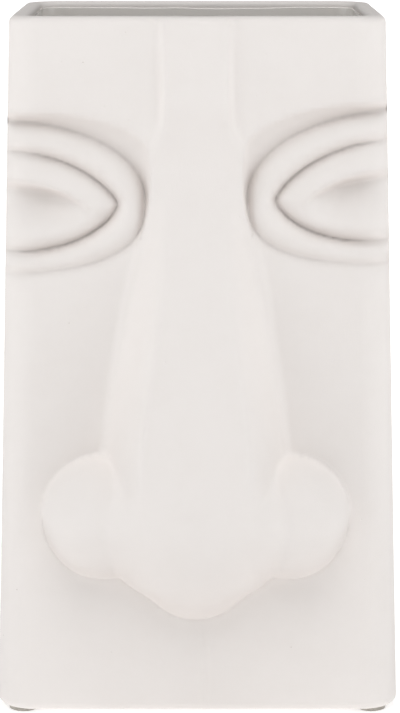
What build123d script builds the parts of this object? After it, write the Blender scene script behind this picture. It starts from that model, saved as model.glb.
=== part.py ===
from build123d import *
import math
import os

import numpy as np

# A free-standing vase with a long face: a hollow block of unglazed white ceramic whose front
# carries two ringed eyes that run off the edges, and a long nose with broad wings.
# Frame: +X to the right as one faces it, the nose points to -Y, +Z up, and the origin lies on
# the table under the middle of the whole part.
# Front places are shares: across is a share of half the front's width, up a share of the height.

# The block, in millimetres
body_height = 268.5
top_width = 141.0
foot_width = 157.0
top_depth = 106.0
foot_depth = 114.0
corner_radius = 12.0
foot_edge_radius = 3.6
rim_edge_radius = 2.6
wall = 7.0
floor_thickness = 8.0
cavity_corner_radius = 8.0
cavity_floor_radius = 7.0
rim_inner_radius = 2.0

# The underside: a flat ring to stand on, round a shallow recess
foot_land = 17.0
recess_depth = 2.0

# The glaze that makes the inside hold water
glaze_thickness = 0.5
glaze_rim_gap = 2.5

# Four round felt pads stuck under the corners
pad_thickness = 1.5
pad_margin = 0.7

# The nose: how far it stands out, and the rounding of its tip and foot
nose_proud = 34.5
tip_rounding = 12.0
root_proud = 0.9
nose_foot_fillet = 3.0
nose_sink = 3.0
deepest_sink_share = 3.0
wing_proud = 25.5
wing_blend = 5.0
wing_fullness_share = 0.45
tip_up_share = 0.3054
tip_drop_share = 0.1601
root_up_share = 0.7598
ridge_half_share = 0.1906
ridge_growth_share = 0.1987
ridge_start_up_share = 0.864
ridge_end_up_share = 0.298
tip_half_share = 0.403
tip_growth_share = 0.188
tip_narrow_up_share = 0.194
tip_wide_up_share = 0.3054
section_change_up_share = 0.298
section_change_end_share = 0.395
wing_across_share = 0.49
wing_outer_share = 0.3007
wing_inner_share = 0.4295
wing_up_share = 0.2961
wing_rise_share = 0.0931
blend_start_share = 0.59
blend_end_share = 0.322

# The bridge strip that carries the nose up the forehead to the rim
bridge_rim_proud = 1.4
bridge_brow_proud = 3.2
bridge_dip = 3.4
bridge_edge = 2.0
bridge_blend = 2.0
bridge_flare = 2.6
flank_softness = 6.0
wing_flank_softness = 4.0
bridge_rise_share = 0.119
dip_start_up_share = 0.8827
dip_length_share = 0.0968
flare_up_share = 0.812
flare_length_share = 0.0298
flank_start_up_share = 0.8752
flank_length_share = 0.279
flank_end_up_share = 0.417

# The eyes: an outer and an inner crease, each an arch above and one below a pointed corner
crease_depth = 5.8
ring_upper_drop = 0.9
ring_lower_rise = 1.2
ring_upper_roll = 3.2
ring_inner_roll = 1.9
ring_foot_roll = 6.0
eye_level_drop = 1.0
eye_roll = 3.4
lid_drop = 6.6
brow_drop = 1.3
brow_roll = 8.0
outer_corner_share = (0.2591, 0.7449)
outer_upper_share = (0.7383, 0.1155)
outer_lower_share = (0.6537, -0.0972)
outer_upper_power_share = 0.50
outer_lower_power_share = 0.34
inner_corner_share = (0.4, 0.7412)
inner_upper_share = (0.5638, 0.0778)
inner_lower_share = (0.4832, -0.0633)
inner_upper_power_share = 0.75
inner_lower_power_share = 0.62
brow_corner_share = (0.2497, 0.8175)
brow_arch_share = (0.5826, 0.0547)
brow_power_share = 0.62
flank_bend_share = (0.196, 0.7598)
flank_end_share = (0.2859, 0.6927)
crease_fade_up_share = 0.663
crease_fade_length_share = 0.0745
ring_turn_up_share = 0.7002
lid_reach_share = (0.94, 0.3826)
lid_rise_share = 0.0391
lid_power_share = 0.8
lid_start_share = 0.5235
lid_length_share = 0.255
lid_fall_share = 0.30
eyeball_rise_share = 0.50
brow_start_share = 0.2
brow_length_share = 0.107
lip_up_share = 0.7635
lip_length_share = 0.0447

# Behind the eyes the wall swells inwards, so that it keeps its thickness under the creases
eye_swell = 5.0
swell_centre_share = (0.84, 0.752)
swell_reach_share = (0.95, 0.19)

# How finely the front is worked out, as counts of rows and columns
front_column_count = 54
corner_column_count = 7
side_column_count = 12
back_column_count = 8
skin_row_count = 156
edge_row_count = 4
cavity_row_count = 44
cavity_column_count = 26
arch_point_count = 40
survey_column_count = 76
survey_row_count = 270
survey_blur_count = 12
steepest_share = 5.0
overrun = 5.0

# What follows from them
pad_diameter = foot_land - foot_edge_radius - 2 * pad_margin
half_front = (top_width + foot_width) / 4
depth_at_tip = foot_depth + (top_depth - foot_depth) * tip_up_share
front_reach = depth_at_tip / 2 + nose_proud
centre_y = (front_reach - foot_depth / 2) / 2


def ease(t):
    """A smooth step from 0 to 1."""
    t = np.clip(t, 0, 1)
    return t * t * (3 - 2 * t)


def root(t):
    return np.sqrt(np.clip(t, 0, 1))


def blend_max(a, b, reach):
    """The larger of two heights, with their meeting line rounded over reach."""
    t = np.clip(0.5 + 0.5 * (b - a) / reach, 0, 1)
    return a * (1 - t) + b * t + reach * t * (1 - t)


def front_point(share):
    return np.array([share[0] * half_front, share[1] * body_height])


def arch(corner_share, size_share, power):
    """A quarter arch from its pointed corner, then level to well past the vase's edge."""
    corner, size = front_point(corner_share), front_point(size_share)
    turn = np.linspace(0, math.pi / 2, arch_point_count)
    across = corner[0] + size[0] * (1 - np.cos(turn))
    up = corner[1] + size[1] * np.sin(turn) ** (2 * power)
    return np.vstack([np.c_[across, up], [[2 * half_front, up[-1]]]])


def distance(x, z, line):
    """How far each point lies from a line of straight pieces."""
    best = np.full(x.shape, np.inf)
    for start, end in zip(line[:-1], line[1:]):
        run = end - start
        t = np.clip(((x - start[0]) * run[0] + (z - start[1]) * run[1]) / max(run @ run, 1e-12), 0, 1)
        best = np.minimum(best, (x - start[0] - t * run[0]) ** 2 + (z - start[1] - t * run[1]) ** 2)
    return np.sqrt(best)


def inside(x, z, outline):
    """Whether each point lies inside a closed outline."""
    odd = np.zeros(x.shape, bool)
    for start, end in zip(outline, np.roll(outline, -1, 0)):
        if start[1] != end[1]:
            crossing = start[0] + (z - start[1]) * (end[0] - start[0]) / (end[1] - start[1])
            odd ^= ((start[1] > z) != (end[1] > z)) & (x < crossing)
    return odd


outer_upper = arch(outer_corner_share, outer_upper_share, outer_upper_power_share)
outer_lower = arch(outer_corner_share, outer_lower_share, outer_lower_power_share)
outer_crease = np.vstack([outer_upper[::-1], outer_lower[1:]])
inner_upper = arch(inner_corner_share, inner_upper_share, inner_upper_power_share)
inner_lower = arch(inner_corner_share, inner_lower_share, inner_lower_power_share)
inner_crease = np.vstack([inner_upper[::-1], inner_lower[1:]])
brow_arch = arch(brow_corner_share, brow_arch_share, brow_power_share)


def flank_curve():
    """The edge between the nose's side and the eye socket, bent about one point."""
    t = np.linspace(0, 1, arch_point_count // 2)[1:, None]
    start, bend, end = (front_point(s) for s in (brow_corner_share, flank_bend_share, flank_end_share))
    return (1 - t) ** 2 * start + 2 * t * (1 - t) * bend + t * t * end


brow_line = np.vstack([brow_arch[::-1], flank_curve()])
beside_socket = outer_crease[outer_crease[:, 1] > flank_end_share[1] * body_height]
socket_outline = np.vstack([brow_line, beside_socket[::-1]])


def nose(x, z, inset):
    """The nose's height over the front; inset draws its sides in, for the hollow behind it."""
    up = z / body_height
    tip_up, tip_drop = tip_up_share * body_height, tip_drop_share * body_height - inset
    below = root(1 - (np.clip(tip_up - z, 0, None) / tip_drop) ** 2)
    above = np.clip(z - tip_up, 0, None)
    root_above = (root_up_share - tip_up_share) * body_height
    fall = (nose_proud - root_proud) / (math.hypot(root_above, tip_rounding) - tip_rounding)
    ridge_line = nose_proud * below - fall * (np.hypot(above, tip_rounding) - tip_rounding)
    strip = (bridge_rim_proud
             + (bridge_brow_proud - bridge_rim_proud) * ease((1 - up) / bridge_rise_share)
             - bridge_dip * ease((dip_start_up_share - up) / dip_length_share))
    proud = np.where(z < tip_up, ridge_line, blend_max(ridge_line, strip, bridge_blend))

    growth = ease((ridge_start_up_share - up) / (ridge_start_up_share - ridge_end_up_share))
    half = (ridge_half_share + ridge_growth_share * growth) * half_front - inset
    half = half + bridge_flare * np.exp(-((up - flare_up_share) / flare_length_share) ** 2)
    towards_wing = ease((flank_end_up_share - up) / (flank_end_up_share - tip_wide_up_share))
    soft = (bridge_edge + flank_softness * ease((flank_start_up_share - up) / flank_length_share)
            + wing_flank_softness * towards_wing)
    outside = 2 * nose_sink * ease((x - half - soft) / (2 * nose_sink))
    ridge = proud * (1 - ease((x - half + soft) / (2 * soft))) - outside

    widening = ease((up - tip_narrow_up_share) / (tip_wide_up_share - tip_narrow_up_share))
    wide = ((tip_half_share + tip_growth_share * widening) * half_front - inset) * below
    reach = (x / np.maximum(wide, nose_sink / 10)) ** 2
    tip = (proud + nose_sink * below) * root(1 - reach) - nose_sink * np.clip(reach, 1, deepest_sink_share)

    change = ease((section_change_end_share - up) / (section_change_end_share - section_change_up_share))
    body = blend_max(ridge * (1 - change) + tip * change, 0 * x, nose_foot_fillet)

    wing_x, wing_z = wing_across_share * half_front, wing_up_share * body_height
    side = np.where(x < wing_x, wing_inner_share, wing_outer_share) * half_front - inset
    reach = ((x - wing_x) / side) ** 2 + ((z - wing_z) / (wing_rise_share * body_height - inset)) ** 2
    wing = ((wing_proud + nose_sink) * np.clip(1 - reach, 0, 1) ** wing_fullness_share
            - nose_sink * np.clip(reach, 1, deepest_sink_share))
    inner_side = ease((blend_start_share - x / half_front) / (blend_start_share / 2))
    low = ease((section_change_end_share - up) / (blend_end_share / 4))
    return blend_max(body, wing, nose_foot_fillet + wing_blend * inner_side * low)


def face(x, z):
    """How far the carved front stands out of its plane, mirrored about the middle."""
    x = np.abs(x)
    up, across = z / body_height, x / half_front
    brow_up = np.interp(x, brow_arch[:, 0], brow_arch[:, 1])
    beside_bridge = ease((across - brow_start_share) / brow_length_share)
    over_brow = np.exp(-np.clip(z - brow_up, 0, None) / brow_roll) * (z > brow_up)
    plain = nose(x, z, 0) - brow_drop * over_brow * beside_bridge

    in_outer, in_inner = inside(x, z, outer_crease), inside(x, z, inner_crease)
    to_outer, to_inner = distance(x, z, outer_crease), distance(x, z, inner_crease)
    to_brow = distance(x, z, brow_line)
    fade = ease((up - crease_fade_up_share) / crease_fade_length_share)
    outer_depth = crease_depth * fade

    in_socket = inside(x, z, socket_outline) & ~in_outer
    lip = brow_drop * beside_bridge * ease((up - lip_up_share) / lip_length_share)
    t = to_brow / np.maximum(to_brow + to_outer, 1e-6)
    socket = (plain - lip) * (1 - t) - outer_depth * t

    upper = ease((up - ring_turn_up_share) / crease_fade_length_share)
    crest = ring_lower_rise * (1 - upper) - ring_upper_drop * upper
    level = crest * (upper + (1 - upper) * ease(to_outer / ring_foot_roll))
    ring = (level - (outer_depth + crest) * np.exp(-to_outer / ring_upper_roll) * fade
            - (crease_depth + level) * np.exp(-to_inner / ring_inner_roll))

    under = np.interp(x, inner_lower[:, 0], inner_lower[:, 1])
    lid_corner = front_point((lid_reach_share[0], inner_corner_share[1]))
    before_corner = np.clip(lid_corner[0] - x, 0, None) / (lid_reach_share[1] * half_front)
    lid_arch = root(1 - before_corner ** 2)
    lid = lid_corner[1] + lid_rise_share * body_height * lid_arch ** (2 * lid_power_share)
    open_height = np.maximum(lid - under, eye_roll)
    under_lid = (lid - z) / open_height
    fold = ease(under_lid / lid_fall_share) * (1 - ease((under_lid - lid_fall_share) / eyeball_rise_share))
    opening = ease((across - lid_start_share) / lid_length_share)
    eye = (-eye_level_drop - (crease_depth - eye_level_drop) * np.exp(-to_inner / eye_roll)
           - lid_drop * opening * fold)
    return np.where(in_inner, eye, np.where(in_outer, ring, np.where(in_socket, socket, plain)))


def hollow(x, z, inset):
    """The inside of the front wall: the nose's hollow, and a swelling behind each eye."""
    x = np.abs(x)
    centre, size = front_point(swell_centre_share), front_point(swell_reach_share)
    reach = ((x - centre[0]) / size[0]) ** 2 + ((z - centre[1]) / size[1]) ** 2
    return nose(x, z, inset) - eye_swell * ease(1 - reach)


def crowd(places, weight, count):
    """count places along a line, closer together where the weight is larger."""
    steps = (weight[1:] + weight[:-1]) / 2 * np.diff(places)
    total = np.concatenate([[0], np.cumsum(steps)])
    return np.interp(np.linspace(0, total[-1], count), total, places)


def blur(field, times):
    for _ in range(times):
        edge = np.pad(field, 1, mode="edge")
        field = (edge[:-2, 1:-1] + edge[2:, 1:-1] + edge[1:-1, :-2] + edge[1:-1, 2:] + 4 * field) / 8
    return field


def half_widths(z, inset):
    """Half the block's width and half its depth at each height."""
    up = z / body_height
    half_width = (foot_width + (top_width - foot_width) * up) / 2 - inset
    half_depth = (foot_depth + (top_depth - foot_depth) * up) / 2 - inset
    return half_width, half_depth


def front_grid(low, high):
    """Heights up the front and shares across it, closer together where it is steep."""
    shares, heights = np.linspace(0, 1, survey_column_count), np.linspace(low, high, survey_row_count)
    share, z = np.meshgrid(shares, heights)
    x = share * (half_widths(z, 0)[0] - corner_radius)
    slope_up, slope_across = np.gradient(face(x, z), heights[1] - heights[0], x[0, 1] - x[0, 0])
    stretch = np.minimum(np.sqrt(1 + slope_up ** 2 + slope_across ** 2), steepest_share)
    weight = blur(stretch, survey_blur_count)
    upright = crowd(heights, weight.mean(axis=1), skin_row_count)
    return upright, crowd(shares, weight.mean(axis=0), front_column_count)


def half_skin(relief, radius, placed, level, inset):
    """Level rows of points round half the block, from the middle of the front to that of the back.

    placed are shares across the front, level the height of each row and inset how far it is drawn in.
    """
    quarter = np.linspace(0, math.pi / 2, corner_column_count + 1)[None, 1:]
    along = (1 - np.cos(np.linspace(0, math.pi, side_column_count + 1)))[None, 1:] / 2
    inward = np.cos(np.linspace(0, math.pi / 2, back_column_count + 1))[None, 1:]
    half_width, half_depth = half_widths(level, inset)
    flat_x, flat_y = half_width - radius, half_depth - radius
    x = flat_x * placed
    front = (x, -half_depth - relief(x, level + 0 * x))
    x = flat_x + radius * np.sin(quarter)
    corner_relief = relief(x, level + 0 * x) * root(np.cos(quarter))
    front_corner = (x, -flat_y - radius * np.cos(quarter) - corner_relief)
    side = (half_width + 0 * along, flat_y * (2 * along - 1))
    back_corner = (flat_x + radius * np.cos(quarter), flat_y + radius * np.sin(quarter))
    back = (flat_x * inward, half_depth + 0 * inward)
    x, y = (np.hstack(stretch) for stretch in zip(front, front_corner, side, back_corner, back))
    return np.stack([x, y, level + 0 * x], axis=-1) + np.array([0, centre_y, pad_thickness])


def outer_skin():
    """The outside, its lower and upper edges rounded."""
    upright, placed = front_grid(foot_edge_radius, body_height - rim_edge_radius)
    turn = np.linspace(0, math.pi / 2, edge_row_count + 1)[:-1, None]
    foot, foot_inset = foot_edge_radius * (1 - np.cos(turn)), foot_edge_radius * (1 - np.sin(turn))
    rim = body_height - rim_edge_radius * (1 - np.cos(turn[::-1]))
    rim_inset = rim_edge_radius * (1 - np.sin(turn[::-1]))
    level = np.vstack([foot, upright[:, None], rim])
    inset = np.vstack([foot_inset, np.zeros((skin_row_count, 1)), rim_inset])
    return half_skin(face, corner_radius, placed, level, inset)


def inner_skin(inset, flared):
    """The inside, from the floor's rounded edge to where the glaze ends, then to the flared rim."""
    turn = np.linspace(0, math.pi / 2, edge_row_count + 1)[:, None]
    floor = floor_thickness + inset - wall
    low, high = floor + cavity_floor_radius, body_height - glaze_rim_gap
    upright = np.linspace(low, high, cavity_row_count)[1:, None]
    heights = [floor + cavity_floor_radius * (1 - np.cos(turn)), upright]
    insets = [inset + cavity_floor_radius * (1 - np.sin(turn)), np.full((cavity_row_count - 1, 1), inset)]
    if flared:
        heights.append(body_height - rim_inner_radius * (1 - np.sin(turn)))
        insets.append(inset - rim_inner_radius * (1 - np.cos(turn)))
    placed = np.linspace(0, 1, cavity_column_count)
    return half_skin(lambda x, z: hollow(x, z, inset), cavity_corner_radius, placed,
                     np.vstack(heights), np.vstack(insets))


def curves(points):
    """A smooth curve through each row of a half skin, all with the same marks along them."""
    steps = np.linalg.norm(np.diff(points, axis=1), axis=2).mean(axis=0)
    marks = [float(mark) for mark in np.cumsum([0, *steps]) / steps.sum()]
    rows = [[Vector(*(float(value) for value in point)) for point in row] for row in points]
    return [Edge.make_spline(row, parameters=marks) for row in rows]


def strips(rows):
    """The surfaces between neighbouring rows, on both sides of the middle."""
    half = [Face.make_surface_from_curves(low, high) for low, high in zip(rows[:-1], rows[1:])]
    return half + [strip.mirror(Plane.YZ) for strip in half]


def loop(row):
    return Wire([row, row.mirror(Plane.YZ)])


def closed(faces):
    return Solid(Shell(Face.sew_faces(faces)[0]))


def make_vase_body():
    """The cast block with its carved front, hollow and open at the top, and a recess below."""
    outer_rows, inner_rows = curves(outer_skin()), curves(inner_skin(wall, True))
    rim = Face(loop(outer_rows[-1]), [loop(inner_rows[-1])])
    caps = [Face(loop(outer_rows[0])), Face(loop(inner_rows[0])), rim]
    body = closed(strips(outer_rows) + strips(inner_rows) + caps)
    recess = RectangleRounded(foot_width - 2 * foot_land, foot_depth - 2 * foot_land, corner_radius)
    return body - Pos(0, centre_y, pad_thickness - overrun) * extrude(recess, recess_depth + overrun)


def make_inner_glaze():
    """The glass layer that lines the inside, ending just under the rim."""
    against_body, wet = curves(inner_skin(wall, False)), curves(inner_skin(wall + glaze_thickness, False))
    top = Face(loop(against_body[-1]), [loop(wet[-1])])
    caps = [Face(loop(against_body[0])), Face(loop(wet[0])), top]
    return closed(strips(against_body) + strips(wet) + caps)


def make_foot_pad(side_x, side_y):
    """A felt disc, flat on the table and flat against the foot ring."""
    land_middle = foot_edge_radius + (foot_land - foot_edge_radius) / 2
    x, y = foot_width / 2 - land_middle, foot_depth / 2 - land_middle
    pad = Cylinder(pad_diameter / 2, pad_thickness, align=(Align.CENTER, Align.CENTER, Align.MIN))
    return Pos(side_x * x, centre_y + side_y * y, 0) * pad


parts = {"vase_body": make_vase_body(), "inner_glaze": make_inner_glaze()}
for end, side_y in (("front", -1), ("back", 1)):
    for hand, side_x in (("left", -1), ("right", 1)):
        parts[f"foot_pad_{end}_{hand}"] = make_foot_pad(side_x, side_y)

os.makedirs("parts", exist_ok=True)
for name, part in parts.items():
    export_step(part, f"parts/{name}.step")
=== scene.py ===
import math

import bpy
import numpy as np
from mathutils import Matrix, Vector


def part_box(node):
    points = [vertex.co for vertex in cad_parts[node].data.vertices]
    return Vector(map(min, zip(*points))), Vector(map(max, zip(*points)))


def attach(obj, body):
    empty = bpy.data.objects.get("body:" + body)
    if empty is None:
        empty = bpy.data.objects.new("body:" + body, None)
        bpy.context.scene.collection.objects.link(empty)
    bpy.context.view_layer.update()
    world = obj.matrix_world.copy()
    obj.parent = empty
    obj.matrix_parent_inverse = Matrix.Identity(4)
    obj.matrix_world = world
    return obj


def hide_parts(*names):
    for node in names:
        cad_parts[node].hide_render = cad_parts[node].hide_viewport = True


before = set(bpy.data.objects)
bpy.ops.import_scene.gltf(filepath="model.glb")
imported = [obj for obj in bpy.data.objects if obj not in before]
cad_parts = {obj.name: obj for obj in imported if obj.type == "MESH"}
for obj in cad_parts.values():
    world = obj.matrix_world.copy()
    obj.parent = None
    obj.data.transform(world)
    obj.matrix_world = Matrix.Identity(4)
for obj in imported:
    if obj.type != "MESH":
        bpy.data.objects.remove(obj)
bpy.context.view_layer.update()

# The casting: one hollow block of white clay, poured as slip into a plaster mould and fired
# without glaze outside. The mould carries the long nose and the two ringed eyes, which run off
# the block's front corners. Lengths are in millimetres, up is counted from the foot.
body_low, body_high = (np.array(corner) * 1000 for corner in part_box("vase_body"))
height = body_high[2] - body_low[2]
pad_height = body_low[2]
foot_width, top_width = body_high[0] - body_low[0], 141.0
foot_depth, top_depth = 114.0, 106.0
centre_y = body_high[1] - foot_depth / 2
corner_radius, foot_edge_radius, rim_edge_radius = 12.0, 3.6, 2.6
wall, floor_thickness, inner_corner_radius, inner_floor_radius, inner_rim_radius = 7.0, 8.0, 8.0, 7.0, 2.0
foot_land, recess_depth, recess_edge_radius = 17.0, 2.0, 0.8
front_columns, corner_columns, side_columns, back_columns = 106, 9, 14, 10
outer_rows, edge_rows, inner_rows = 292, 5, 20
survey_columns, survey_rows, survey_blur, steepest = 150, 420, 10, 3.2


def ease(t):
    """A smooth step: 3t squared less 2t cubed, held between 0 and 1."""
    t = np.clip(t, 0, 1)
    return t * t * (3 - 2 * t)


def root(t):
    """The square root, with t held between 0 and 1."""
    return np.sqrt(np.clip(t, 0, 1))


def blend_max(a, b, reach):
    """The larger of a and b, with a parabola of the given reach where they cross."""
    t = np.clip(0.5 + 0.5 * (b - a) / reach, 0, 1)
    return a * (1 - t) + b * t + reach * t * (1 - t)


def arch(corner, reach, rise, power):
    """Across grows as 1 - cos, up as sin to twice the power, then level past the block's edge."""
    turn = np.linspace(0, math.pi / 2, 60)
    across, up = corner[0] + reach * (1 - np.cos(turn)), corner[1] + rise * np.sin(turn) ** (2 * power)
    return np.vstack([np.c_[across, up], [[foot_width, up[-1]]]])


def distance(x, z, line):
    """The least distance from each point to the straight pieces of a line."""
    best = np.full(x.shape, np.inf)
    for start, end in zip(line[:-1], line[1:]):
        run = end - start
        t = np.clip(((x - start[0]) * run[0] + (z - start[1]) * run[1]) / max(run @ run, 1e-12), 0, 1)
        best = np.minimum(best, (x - start[0] - t * run[0]) ** 2 + (z - start[1] - t * run[1]) ** 2)
    return np.sqrt(best)


def inside(x, z, outline):
    """Even-odd rule: a ray to the right crosses the outline an odd number of times."""
    odd = np.zeros(x.shape, bool)
    for start, end in zip(outline, np.roll(outline, -1, 0)):
        if start[1] != end[1]:
            crossing = start[0] + (z - start[1]) * (end[0] - start[0]) / (end[1] - start[1])
            odd ^= ((start[1] > z) != (end[1] > z)) & (x < crossing)
    return odd


# The lines of one eye, drawn from its corner beside the nose outwards: the brow, the crease round
# the ring and the crease round the ball. The other eye mirrors them.
outer_corner, inner_corner, brow_corner = (19.3, 200.0), (29.8, 199.0), (18.6, 219.5)
flank_bend, flank_end = (14.6, 204.0), (21.3, 186.0)
outer_crease = np.vstack([arch(outer_corner, 55.0, 31.0, 0.50)[::-1],
                          arch(outer_corner, 48.7, -26.1, 0.34)[1:]])
inner_lower = arch(inner_corner, 36.0, -17.0, 0.62)
inner_crease = np.vstack([arch(inner_corner, 42.0, 20.9, 0.75)[::-1], inner_lower[1:]])
brow_arch = arch(brow_corner, 43.4, 14.7, 0.62)
along_flank = np.linspace(0, 1, 24)[1:, None]
flank = ((1 - along_flank) ** 2 * brow_corner + 2 * along_flank * (1 - along_flank) * flank_bend
         + along_flank ** 2 * flank_end)
brow_line = np.vstack([brow_arch[::-1], flank])
socket_outline = np.vstack([brow_line, outer_crease[outer_crease[:, 1] > flank_end[1]][::-1]])


def nose(x, z, inset):
    """Nose and bridge strip: a ridge whose section turns from a flat-topped band into a rounded
    tip, half an ellipse across and up, joined by blend_max to two half-eggs, the wings."""
    tip_up, tip_drop, tip_proud, tip_rounding, fall, sink = 82.0, 44.0 - inset, 34.5, 12.0, 0.304, 3.0
    strip_at_rim, strip_swell, strip_dip = 1.8, 1.4, 3.4
    ridge_half, ridge_growth, brow_flare = 12.9, 16.1, 3.2
    tip_half, tip_shoulder, tip_growth = 30, 7.5, 6.5
    wing_across, wing_up, wing_proud, wing_fullness = 36.5, 79.5, 28.5, 0.45
    wing_inner, wing_outer, wing_drop, wing_rise = 32.0, 22.4, 25.0, 23.4
    below = root(1 - (np.clip(tip_up - z, 0, None) / tip_drop) ** 2)
    above = np.clip(z - tip_up, 0, None)
    line = tip_proud * below - fall * (np.hypot(above, tip_rounding) - tip_rounding)
    strip = strip_at_rim + strip_swell * ease((height - z) / 32) - strip_dip * ease((237 - z) / 26)
    proud = np.where(z < tip_up, line, blend_max(line, strip, 2))
    half = (ridge_half + ridge_growth * ease((232 - z) / 152)
            + brow_flare * np.exp(-((z - 216) / 9) ** 2) - inset)
    soft = 1.5 + 6.5 * ease((235 - z) / 75) + 4 * ease((112 - z) / 32)
    ridge = proud * (1 - ease((x - half + soft) / (2 * soft))) - 5 * ease((x - half - soft + 2) / 6)
    wide = (tip_half + tip_shoulder * ease((z - 45.5) / 10) + tip_growth * ease((z - 56) / 26)
            - inset) * below
    reach = (x / np.maximum(wide, 0.1)) ** 2
    tip = (proud + sink * below) * root(1 - reach) - sink - 60 * np.clip(reach - 1, 0, 0.1)
    change = ease((106 - z) / 26)
    body = blend_max(ridge * (1 - change) + tip * change, 0 * x, 3)
    reach = (((x - wing_across) / (np.where(x < wing_across, wing_inner, wing_outer) - inset)) ** 2
             + ((z - wing_up) / (np.where(z < wing_up, wing_drop, wing_rise) - inset)) ** 2)
    wing = wing_proud * np.clip(1 - reach, 0, 1) ** wing_fullness - sink - 60 * np.clip(reach - 1, 0, 0.3)
    return blend_max(body, wing, 3 + 8 * ease((44 - x) / 20) * ease((104 - z) / 24))


def face(x, z):
    """The front's height over its plane: outside the eye the nose and forehead, in the socket a
    blend from brow to crease by distance, in each ring a level less an exponential of the
    distance to its crease, and under each lid a fold, the product of two smooth steps. The
    drawing is carved a little off centre, as by hand, and a mould seam, a low bell curve across,
    runs from the nose down to the foot."""
    seam_high, seam_across, seam_spread, tilt, off_centre = 0.25, 3.2, 0.9, 0.03, 0.65
    deep, shallow, inner_deep, inner_rise, brow_cut = 7.2, 2.4, 6.4, 2.2, 1.3
    ring_below, ring_above, eye_level = 1.4, -0.6, -0.6
    ring_outer_fade, ring_inner_fade, eye_fade, cheek_fade, brow_fade = 2.8, 2.1, 3.0, 3.2, 8
    lid_fold, lid_up, lid_rise, lid_across, lid_reach = 7.6, 199, 10.5, 70, 28.5
    seam = seam_high * np.exp(-((x - seam_across) / seam_spread) ** 2) * ease((38 - z) / 6)
    by_eyes = ease((z - 140) / 40) * ease((height - z) / 25)
    z = z - tilt * (x + 1.8) * by_eyes
    x = np.abs(x + off_centre - 0.3 * by_eyes)
    over_brow = z - np.interp(x, brow_arch[:, 0], brow_arch[:, 1])
    beside_bridge = ease((x - 15) / 8)
    fading = np.exp(-np.clip(over_brow, 0, None) / brow_fade) * beside_bridge * (over_brow > 0)
    plain = nose(x, z, 0) - brow_cut * fading
    in_outer, in_inner = inside(x, z, outer_crease), inside(x, z, inner_crease)
    to_outer, to_inner = distance(x, z, outer_crease), distance(x, z, inner_crease)
    to_brow = distance(x, z, brow_line)
    outer_depth = shallow + (deep - shallow) * ease((z - 184) / 20)
    inner_depth = inner_deep - inner_rise * ease((x - 56) / 16)
    t = (to_brow / np.maximum(to_brow + to_outer, 1e-6)) ** 0.75
    socket = (plain - brow_cut * beside_bridge * ease((z - 205) / 12)) * (1 - t) - outer_depth * t
    upper = ease((z - 188) / 20)
    level = ring_below * (1 - upper) + ring_above * upper
    ring = (level - (outer_depth + level) * np.exp(-to_outer / ring_outer_fade)
            - (inner_depth + level) * np.exp(-to_inner / ring_inner_fade))
    lower_lid = np.interp(x, inner_lower[:, 0], inner_lower[:, 1])
    lid = lid_up + lid_rise * root(1 - (np.clip(lid_across - x, 0, None) / lid_reach) ** 2) ** 1.6
    open_height = np.maximum(lid - lower_lid, 4)
    down = (lid - z) / open_height
    fold = ease(down / 0.16) * (1 - ease((down - 0.16) / 0.66))
    fold_depth = lid_fold * (ease((x - 37) / 21) - 0.4 * ease((x - 60) / 12))
    eye = eye_level - (inner_depth + eye_level) * np.exp(-to_inner / eye_fade) - fold_depth * fold
    in_socket = inside(x, z, socket_outline) & ~in_outer
    under_ring = (1 - ease((z - 184) / 9)) * ease((x - 14) / 8)
    cheek = plain - outer_depth * np.exp(-to_outer / cheek_fade) * under_ring
    return seam + np.where(in_outer, np.where(in_inner, eye, ring), np.where(in_socket, socket, cheek))


def hollow(x, z, inset):
    """The inside of the front wall: the nose drawn in, less a swelling behind each eye."""
    x = np.abs(x)
    swell_across, swell_up, swell_wide, swell_tall, swell_deep = 62.6, 201.9, 70.8, 51, 5
    reach = ((x - swell_across) / swell_wide) ** 2 + ((z - swell_up) / swell_tall) ** 2
    return nose(x, z, inset) - swell_deep * ease(1 - reach)


def crowd(places, weight, count):
    """count places along a line at equal steps of the weight's running total."""
    total = np.concatenate([[0], np.cumsum((weight[1:] + weight[:-1]) / 2 * np.diff(places))])
    return np.interp(np.linspace(0, total[-1], count), total, places)


def blur(field, times):
    """Each value is averaged with its four neighbours, over and over."""
    for _ in range(times):
        edge = np.pad(field, 1, mode="edge")
        field = (edge[:-2, 1:-1] + edge[2:, 1:-1] + edge[1:-1, :-2] + edge[1:-1, 2:] + 4 * field) / 8
    return field


def half_sizes(z, inset):
    """Half the width and half the depth, falling evenly from foot to rim."""
    up = z / height
    return ((foot_width + (top_width - foot_width) * up) / 2 - inset,
            (foot_depth + (top_depth - foot_depth) * up) / 2 - inset)


def half_ring(relief, radius, placed, level, inset, side):
    """Half of each level ring round the block, from the middle of the front to that of the back:
    straight front, quarter circle, straight side, quarter circle, straight back. Round the front
    corner the relief fades as the square root of the turn's cosine."""
    quarter = np.linspace(0, math.pi / 2, corner_columns + 1)[None, 1:]
    along = (1 - np.cos(np.linspace(0, math.pi, side_columns + 1)))[None, 1:] / 2
    inward = np.cos(np.linspace(0, math.pi / 2, back_columns + 1))[None, 1:]
    half_width, half_depth = half_sizes(level, inset)
    flat_x, flat_y = half_width - radius, half_depth - radius
    x = flat_x * placed
    front = (x, -half_depth - relief(side * x, level + 0 * x))
    x = flat_x + radius * np.sin(quarter)
    front_corner = (x, -flat_y - radius * np.cos(quarter)
                    - relief(side * x, level + 0 * x) * root(np.cos(quarter)))
    flat_side = (half_width + 0 * along, flat_y * (2 * along - 1))
    back_corner = (flat_x + radius * np.cos(quarter), flat_y + radius * np.sin(quarter))
    back = (flat_x * inward, half_depth + 0 * inward)
    x, y = (np.hstack(stretch) for stretch in zip(front, front_corner, flat_side, back_corner, back))
    return np.stack([side * x, y, level + 0 * x], axis=-1)


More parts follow.
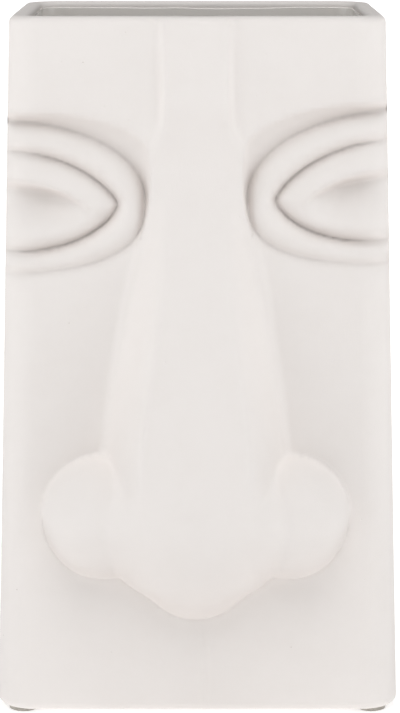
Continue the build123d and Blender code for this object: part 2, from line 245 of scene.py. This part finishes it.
def rings(relief, radius, placed, level, inset):
    """Whole rings: the right half, then the left half backwards without its two shared ends."""
    right, left = (half_ring(relief, radius, placed, level, inset, side) for side in (1, -1))
    return np.hstack([right, left[:, -2:0:-1]]) + [0, centre_y, pad_height]


def front_grid(low, high):
    """Heights up the front and shares across it, closer together where either half is steep."""
    shares, heights = np.linspace(-1, 1, 2 * survey_columns), np.linspace(low, high, survey_rows)
    share, z = np.meshgrid(shares, heights)
    x = share * (half_sizes(z, 0)[0] - corner_radius)
    slope_up, slope_across = np.gradient(face(x, z), heights[1] - heights[0], x[0, 1] - x[0, 0])
    weight = blur(np.minimum(np.sqrt(1 + slope_up ** 2 + slope_across ** 2), steepest), survey_blur)
    across = weight.mean(axis=0)
    across = (across[survey_columns:] + across[survey_columns - 1::-1]) / 2
    placed = crowd(np.linspace(0, 1, survey_columns), across, front_columns)
    return crowd(heights, weight.mean(axis=1), outer_rows)[:, None], placed[None]


def closed_mesh(name, points):
    """A skin through rows of closed rings, with a fan to a middle point at its first and last ring."""
    rows, columns = points.shape[:2]
    ends = np.array([points[0].mean(axis=0), points[-1].mean(axis=0)])
    here = np.arange(rows * columns).reshape(rows, columns)
    beside = np.roll(here, -1, axis=1)
    quads = np.stack([here[:-1], beside[:-1], beside[1:], here[1:]], axis=-1).reshape(-1, 4)
    first, last = rows * columns, rows * columns + 1
    fans = np.vstack([np.c_[np.full(columns, first), beside[0], here[0]],
                      np.c_[np.full(columns, last), here[-1], beside[-1]]])
    mesh = bpy.data.meshes.new(name)
    mesh.from_pydata(np.vstack([points.reshape(-1, 3), ends]) / 1000, [], [*quads.tolist(), *fans.tolist()])
    mesh.shade_smooth()
    piece = bpy.data.objects.new(name, mesh)
    bpy.context.scene.collection.objects.link(piece)
    return piece


turn = np.linspace(0, math.pi / 2, edge_rows + 1)[:, None]
upright, placed = front_grid(foot_edge_radius, height - rim_edge_radius)


def flat_front(x, z):
    """No relief: under the foot the front's middle is as straight as its sides."""
    return 0 * x


def behind_face(x, z):
    """The relief of the inside of the front wall."""
    return hollow(x, z, wall)


def outer(relief, level, inset):
    """Rings with the outer corner radius."""
    return rings(relief, corner_radius, placed, level, inset)


def inner(level, inset):
    """Rings with the inner corner radius."""
    return rings(behind_face, inner_corner_radius, placed, level, inset)


cosine, sine = np.cos(turn), np.sin(turn)
recess_insets, land_insets = (50.0, 35.0, foot_land + 2), (12.0, foot_edge_radius + 0.5)
recess = outer(flat_front, np.full((3, 1), recess_depth), np.array(recess_insets)[:, None])
recess_edge = outer(flat_front, recess_depth * (1 - turn / turn[-1]), foot_land + recess_edge_radius * cosine)
land = outer(flat_front, np.zeros((2, 1)), np.array(land_insets)[:, None])
foot = outer(face, foot_edge_radius * (1 - cosine[:-1]), foot_edge_radius * (1 - sine[:-1]))
outside = outer(face, upright, 0 * upright)
rim = outer(face, height - rim_edge_radius * (1 - sine[1:]), rim_edge_radius * (1 - cosine[1:]))
mouth = inner(height - inner_rim_radius * (1 - cosine), wall - inner_rim_radius * (1 - sine))
down = np.linspace(height - inner_rim_radius, floor_thickness + inner_floor_radius, inner_rows)[1:, None]
within = inner(down, np.full_like(down, wall))
bottom = inner(floor_thickness + inner_floor_radius * (1 - sine[1:]),
               wall + inner_floor_radius * (1 - cosine[1:]))
casting = closed_mesh("vase_casting", np.vstack([recess, recess_edge, land, foot, outside, rim,
                                                 mouth, within, bottom]))
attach(casting, "root")
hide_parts("vase_body")


class Wire:
    """A socket that adds a Math node for each sign it stands beside in an expression."""

    def __init__(self, finish, socket):
        self.finish, self.socket = finish, socket

    def maths(self, operation, *values):
        """The output of a Math node with this operation on the values."""
        return self.finish.node("ShaderNodeMath", {"operation": operation}, *values).out()

    def __add__(self, other):
        return self.maths("ADD", self, other)

    def __sub__(self, other):
        return self.maths("SUBTRACT", self, other)

    def __mul__(self, other):
        return self.maths("MULTIPLY", self, other)

    def __gt__(self, other):
        return self.maths("GREATER_THAN", self, other)

    def __rsub__(self, other):
        return self.maths("SUBTRACT", other, self)

    __radd__, __rmul__ = __add__, __mul__

    def held(self):
        """The value kept between 0 and 1."""
        return self.maths("MINIMUM", self.maths("MAXIMUM", self, 0.0), 1.0)


class Finish:
    """One material: node() adds a node, and its shader takes the surface values."""

    def __init__(self, name, piece):
        self.material = bpy.data.materials.new(name)
        self.material.use_nodes = True
        self.tree = self.material.node_tree
        self.shader = self.tree.nodes["Principled BSDF"]
        piece.data.materials.clear()
        piece.data.materials.append(self.material)
        self.places = self.node("ShaderNodeTexCoord").out("Object")

    def node(self, kind, settings=None, *values, **named):
        """Adds a node: first its settings, then values or links by place or by socket name."""
        made = self.tree.nodes.new(kind)
        for key, value in (settings or {}).items():
            setattr(made, key, value)
        sockets = {socket.identifier.replace(" ", "_"): socket for socket in made.inputs}
        for socket, value in zip(made.inputs, values):
            self.feed(socket, value)
        for key, value in named.items():
            self.feed(sockets[key], value)
        return Made(self, made)

    def feed(self, socket, value):
        """Links a wire to the socket, or sets the socket to a constant."""
        if isinstance(value, Wire):
            self.tree.links.new(value.socket, socket)
        else:
            socket.default_value = value

    def noise(self, scale, detail=2.0, roughness=0.5, places=None):
        """Soft cloudy noise, centred on 0.5, with features about 1 / scale metres across."""
        return self.node("ShaderNodeTexNoise", None, Vector=places or self.places, Scale=scale,
                         Detail=detail, Roughness=roughness).out("Fac")

    def mix(self, factor, first, second, how="MIX"):
        """Blends two colours."""
        return self.node("ShaderNodeMix", {"data_type": "RGBA", "blend_type": how},
                         Factor_Float=factor, A_Color=first, B_Color=second).out("Result_Color")

    def shade(self, **named):
        """Sets the shader's own sockets, to constants or links."""
        for key, value in named.items():
            self.feed(self.shader.inputs[key.replace("_", " ")], value)

    def bump(self, height, distance, strength=1.0):
        """Tilts the surface by a height given as a share of distance in metres."""
        return self.node("ShaderNodeBump", None, Height=height, Distance=distance,
                         Strength=strength).out("Normal")


class Made:
    """A node just added, whose outputs are taken by name."""

    def __init__(self, finish, made):
        self.finish, self.made = finish, made

    def out(self, name=None):
        """The output of this name, or the first."""
        sockets = {socket.identifier.replace(" ", "_"): socket for socket in self.made.outputs}
        return Wire(self.finish, sockets[name] if name else self.made.outputs[0])


# The casting's surface: unglazed white clay, sponged smooth before firing, with pin holes, a few
# iron specks and a fine tooth. Creases and surfaces that face down get painted shade: their colour
# is made darker and warmer there, to deepen the shade that a soft light leaves there.
clay_white, clay_cream = (0.845, 0.806, 0.781, 1), (0.812, 0.768, 0.738, 1)
painted_shade_white, speck_brown = (0.61, 0.552, 0.52, 1), (0.36, 0.29, 0.24, 1)
speck_rarity, pit_rarity = 0.996, 0.985
clay = Finish("bisque", casting)
spots = np.empty(3 * len(casting.data.vertices))
casting.data.vertices.foreach_get("co", spots)
x, y, z = spots.reshape(-1, 3).T * 1000
grid_columns, grid_rows, painted_shade_most = 240, 400, 0.75
grid_x, grid_z = np.meshgrid(np.linspace(-foot_width / 2, foot_width / 2, grid_columns),
                             np.linspace(0, height, grid_rows))
carved = face(grid_x, grid_z)
# Painted shade: a darker, warmer colour in the grooves and on surfaces that face down, kept per point.
facing_down = blur(np.clip(np.gradient(carved, height / (grid_rows - 1), axis=0), 0, 1.2), 4)
groove_shade = np.clip(0.2 * (blur(carved, 60) - carved - 0.25), 0, 0.5) * ease((grid_z - 160) / 20)
painted_shade = blur(groove_shade + 0.42 * facing_down, 4)
column = np.clip((x / foot_width + 0.5) * (grid_columns - 1), 0, grid_columns - 1).round().astype(int)
row = np.clip((z - pad_height) / height * (grid_rows - 1), 0, grid_rows - 1).round().astype(int)
before = len(recess) + len(recess_edge) + len(land)
after = before + len(foot) + len(outside) + len(rim)
is_outside = np.zeros(len(x))
is_outside[before * recess.shape[1]:after * recess.shape[1]] = 1
on_front = is_outside * ease((centre_y - y - half_sizes(z - pad_height, 0)[1] + 18) / 6)
crease_depth = casting.data.attributes.new("crease_depth", "FLOAT", "POINT")
crease_depth.data.foreach_set("value", np.clip(painted_shade[row, column], 0, painted_shade_most) * on_front)
crease_shade_amount = clay.node("ShaderNodeAttribute", {"attribute_name": "crease_depth"}).out("Fac")
cloud = clay.noise(14.0, 3.0)
mottle = clay.noise(90.0, 4.0, 0.6)
tooth = clay.noise(2600.0, 3.0, 0.65)
cells = clay.node("ShaderNodeTexVoronoi", None, Vector=clay.places, Scale=330.0, Randomness=1.0)
picked = clay.node("ShaderNodeSeparateColor", None, cells.out("Color"))
near_cell = cells.out("Distance")
speck = (picked.out("Red") > speck_rarity) * (1.0 - (near_cell - 0.05) * 14.0).held()
pit = (picked.out("Green") > pit_rarity) * (1.0 - near_cell * 7.0).held()
tone = clay.mix(((cloud - 0.35) * 0.5 + (mottle - 0.5) * 0.9).held(), clay_white, clay_cream)
# The painted shade is mixed into the clay's colour here.
tone = clay.mix(crease_shade_amount, tone, painted_shade_white)
tone = clay.mix(speck * 0.4, tone, speck_brown)
grain = tooth * 0.5 + mottle * 0.8 - pit * 1.6
clay.shade(Base_Color=tone, Roughness=0.74 + (mottle - 0.5) * 0.2, Specular_IOR_Level=0.35,
           Normal=clay.bump(grain, 0.00012, 0.8))

# The glaze: a creamy glass coat half a millimetre thick, poured in and out before the firing, so
# that the porous clay holds water. It stops just under the rim in an uneven line with a rounded
# edge, and runs down into every corner of the inside.
glaze_thickness, glaze_rim_gap, glaze_edge, glaze_clearance, edge_waver = 0.5, 2.5, 0.35, 0.02, 0.5
glaze_columns, glaze_rows, meniscus_rows = 34, 46, 7


def waver(points, most):
    """Lifts each point by half the sum of three sines of its angle about the middle, times most.
    The lift grows evenly over the last stretch below the rim, so that no ring crosses the next."""
    stretch = 40
    angle = np.arctan2(points[..., 1] - centre_y, points[..., 0])
    wave = np.sin(3 * angle + 0.4) + 0.6 * np.sin(7 * angle + 1.9) + 0.4 * np.sin(13 * angle + 4.1)
    near_rim = np.clip((points[..., 2] - pad_height - height + stretch) / stretch, 0, 1)
    return points + most / 2 * (near_rim * wave)[..., None] * [0, 0, 1]


def lining(level, inset):
    """Rings of the lining, with fewer columns than the casting."""
    share = np.linspace(0, 1, glaze_columns)[None]
    return rings(behind_face, inner_corner_radius, share, level, inset)


wet_floor = floor_thickness + glaze_thickness
top = height - glaze_rim_gap
round_edge = np.linspace(0, math.pi, meniscus_rows)[:, None]
climb = np.linspace(floor_thickness + inner_floor_radius, top - glaze_edge, glaze_rows)[:, None]
behind = lining(floor_thickness + glaze_clearance + inner_floor_radius * (1 - cosine[:-1]),
                wall + glaze_clearance + inner_floor_radius * (1 - sine[:-1]))
against = lining(climb, np.full_like(climb, wall + glaze_clearance))
meniscus = lining(top - glaze_edge + glaze_edge * np.sin(round_edge),
                  wall + glaze_clearance
                  + (glaze_thickness - glaze_clearance) / 2 * (1 - np.cos(round_edge)))
fall = climb[::-1]
wet = lining(fall, np.full_like(fall, wall + glaze_thickness))
wet_corner = lining(wet_floor + inner_floor_radius * (1 - sine[1:]),
                    wall + glaze_thickness + inner_floor_radius * (1 - cosine[1:]))
glazing = closed_mesh("glaze_lining", waver(np.vstack([behind, against[1:], meniscus, wet[1:],
                                                       wet_corner]), edge_waver))
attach(glazing, "root")
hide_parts("inner_glaze")

glaze_cream, glaze_thin = (0.87, 0.835, 0.785, 1), (0.88, 0.85, 0.815, 1)
glass = Finish("glaze", glazing)
streaks = glass.node("ShaderNodeMapping", {"vector_type": "TEXTURE"}, glass.places,
                     Scale=(1.0, 1.0, 6.0)).out()
run = glass.noise(60.0, 2.0, 0.5, streaks)
pool = glass.noise(22.0, 2.0)
bubble_cells = glass.node("ShaderNodeTexVoronoi", None, Vector=glass.places, Scale=420.0)
bubble_pick = glass.node("ShaderNodeSeparateColor", None, bubble_cells.out("Color")).out("Red")
bubble = (bubble_pick > 0.95) * (1.0 - bubble_cells.out("Distance") * 8.0).held()
cream = glass.mix(((pool - 0.3) * 1.2 + (run - 0.5) * 0.8).held(), glaze_thin, glaze_cream)
glass.shade(Base_Color=glass.mix(bubble * 0.5, cream, (0.6, 0.54, 0.47, 1)),
            Roughness=0.2 + (run - 0.5) * 0.15, Coat_Weight=0.3, Coat_Roughness=0.1,
            Normal=glass.bump(run * 0.6 + pool - bubble, 0.0006, 0.35))


# The feet: four round pads of pressed wool felt, self-adhesive, stuck under the corners so that
# the fired clay doesn't scratch the table. Each is cut with a punch, so its edge is square and a
# little furry, and it has settled under the weight.
pad_segments, pad_rings = 96, 14
pad_edge_inset, pad_bulge, pad_fray, pad_wave = 0.32, 0.2, 0.03, 0.02


def felt_pad(node, seed):
    """A disc as a closed skin: the radius follows a flat bottom, a side and a flat top. The side
    bulges as a cosine, and its points move in and out by a sine of their angle and a seeded
    scatter, as felt frays."""
    low_corner, high_corner = (np.array(corner) * 1000 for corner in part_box(node))
    middle, thick = (low_corner + high_corner) / 2, high_corner[2]
    radius = (high_corner[0] - low_corner[0]) / 2
    angle = np.linspace(0, 2 * math.pi, pad_segments, endpoint=False)[None]
    around = np.linspace(-math.pi / 2, math.pi / 2, pad_rings)[:, None]
    scatter = np.random.default_rng(seed).normal(size=(pad_rings, pad_segments))
    side = (radius - pad_edge_inset + pad_bulge * np.cos(around) + pad_fray * scatter
            + pad_wave * np.sin(9 * angle + seed))
    lift = thick / 2 * (1 + np.sign(np.sin(around)) * np.abs(np.sin(around)) ** 0.5)
    disc = np.linspace(0.25, 0.97, 5)[:, None]
    radii = np.vstack([disc * side[:1], side, disc[::-1] * side[-1:]])
    heights = np.vstack([0 * disc, lift, 0 * disc + thick]) + 0 * angle
    points = np.stack([middle[0] + radii * np.cos(angle), middle[1] + radii * np.sin(angle), heights],
                      axis=-1)
    return closed_mesh(node + "_felt", points)


for seed, node in enumerate(("foot_pad_front_left", "foot_pad_front_right",
                             "foot_pad_back_left", "foot_pad_back_right")):
    pad = felt_pad(node, seed)
    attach(pad, "root")
    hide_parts(node)
    felt = Finish("felt_" + node, pad)
    fibres = felt.noise(1400.0, 5.0, 0.7)
    clump = felt.noise(260.0, 3.0)
    felt.shade(Base_Color=felt.mix(((fibres - 0.3) * 1.4 + (clump - 0.5)).held(), (0.42, 0.39, 0.35, 1),
                                   (0.70, 0.67, 0.61, 1)),
               Roughness=0.95, Sheen_Weight=0.4, Normal=felt.bump(fibres + clump * 0.5, 0.0004, 0.9))


# The camera, the white table and the light of a photographer's white tent. The table glows, less
# so in an oval in front of the face, so that it looks white and the undersides stay in shade.
eye_aside, eye_back, eye_high, pitch, lens = 0.001, 0.9384, 0.326, math.radians(11.534), 122.38
film_width, far_off = 36.0, 90.0
camera = bpy.data.objects.new("camera", bpy.data.cameras.new("camera"))
camera.data.lens, camera.data.sensor_width, camera.data.clip_end = lens, film_width, far_off
camera.location = (eye_aside, -eye_back, eye_high)
camera.rotation_euler = (math.pi / 2 - pitch, 0, 0)
bpy.context.scene.collection.objects.link(camera)
bpy.context.scene.camera = camera


def plate(name, across, deep, lift):
    """A flat sheet of two by two quads, level at the given height."""
    x, y = np.meshgrid(np.linspace(-across / 2, across / 2, 3), np.linspace(-deep / 2, deep / 2, 3))
    here = np.arange(9).reshape(3, 3)
    quads = np.stack([here[:-1, :-1], here[:-1, 1:], here[1:, 1:], here[1:, :-1]], axis=-1).reshape(-1, 4)
    mesh = bpy.data.meshes.new(name)
    mesh.from_pydata(np.stack([x, y, np.full_like(x, lift)], axis=-1).reshape(-1, 3), [], quads.tolist())
    piece = bpy.data.objects.new(name, mesh)
    bpy.context.scene.collection.objects.link(piece)
    return piece


table = plate("table", far_off, far_off, 0.0)
acrylic = Finish("opal_acrylic", table)
place = acrylic.node("ShaderNodeSeparateXYZ", None, acrylic.places)
across, ahead = place.out("X"), place.out("Y") + 0.55
off_oval = ((across * across * 2.2 + ahead * ahead * 3.2 - 0.9) * 1.6).held()
acrylic.shade(Base_Color=(0.85, 0.85, 0.85, 1), Roughness=0.9, Emission_Strength=0.9,
              Emission_Color=acrylic.mix(off_oval, (0.5, 0.5, 0.5, 1), (1, 1, 1, 1)))

world = bpy.data.worlds.new("tent")
world.use_nodes = True
world.node_tree.nodes["Background"].inputs["Color"].default_value = (1, 1, 1, 1)
seen = world.node_tree.nodes.new("ShaderNodeLightPath").outputs["Is Camera Ray"]
brighter = world.node_tree.nodes.new("ShaderNodeMath")
brighter.operation = "MULTIPLY_ADD"
world.node_tree.links.new(seen, brighter.inputs[0])
brighter.inputs[1].default_value, brighter.inputs[2].default_value = 0.96, 0.04
world.node_tree.links.new(brighter.outputs[0], world.node_tree.nodes["Background"].inputs["Strength"])
bpy.context.scene.world = world
bpy.context.scene.view_settings.view_transform = "Standard"


def lamp(name, kind, power, place, target, **sizes):
    """A light at a place, turned so that it shines at the target."""
    light = bpy.data.objects.new(name, bpy.data.lights.new(name, kind))
    light.data.energy = power
    for key, value in sizes.items():
        setattr(light.data, key, value)
    light.location = place
    light.rotation_euler = (Vector(place) - Vector(target)).to_track_quat("Z", "Y").to_euler()
    bpy.context.scene.collection.objects.link(light)


lamp("overhead", "SUN", 0.65, (0, 0, 1), (0, 0, 0), angle=0.5)
lamp("tent_roof", "SUN", 1.2, (0, -0.53, 0.85), (0, 0, 0), angle=0.8)
lamp("left", "AREA", 6.2, (-1.3, -0.5, 0.55), (0, 0, 0.15), size=1.2)
lamp("right", "AREA", 5.8, (1.3, -0.5, 0.55), (0, 0, 0.15), size=1.2)
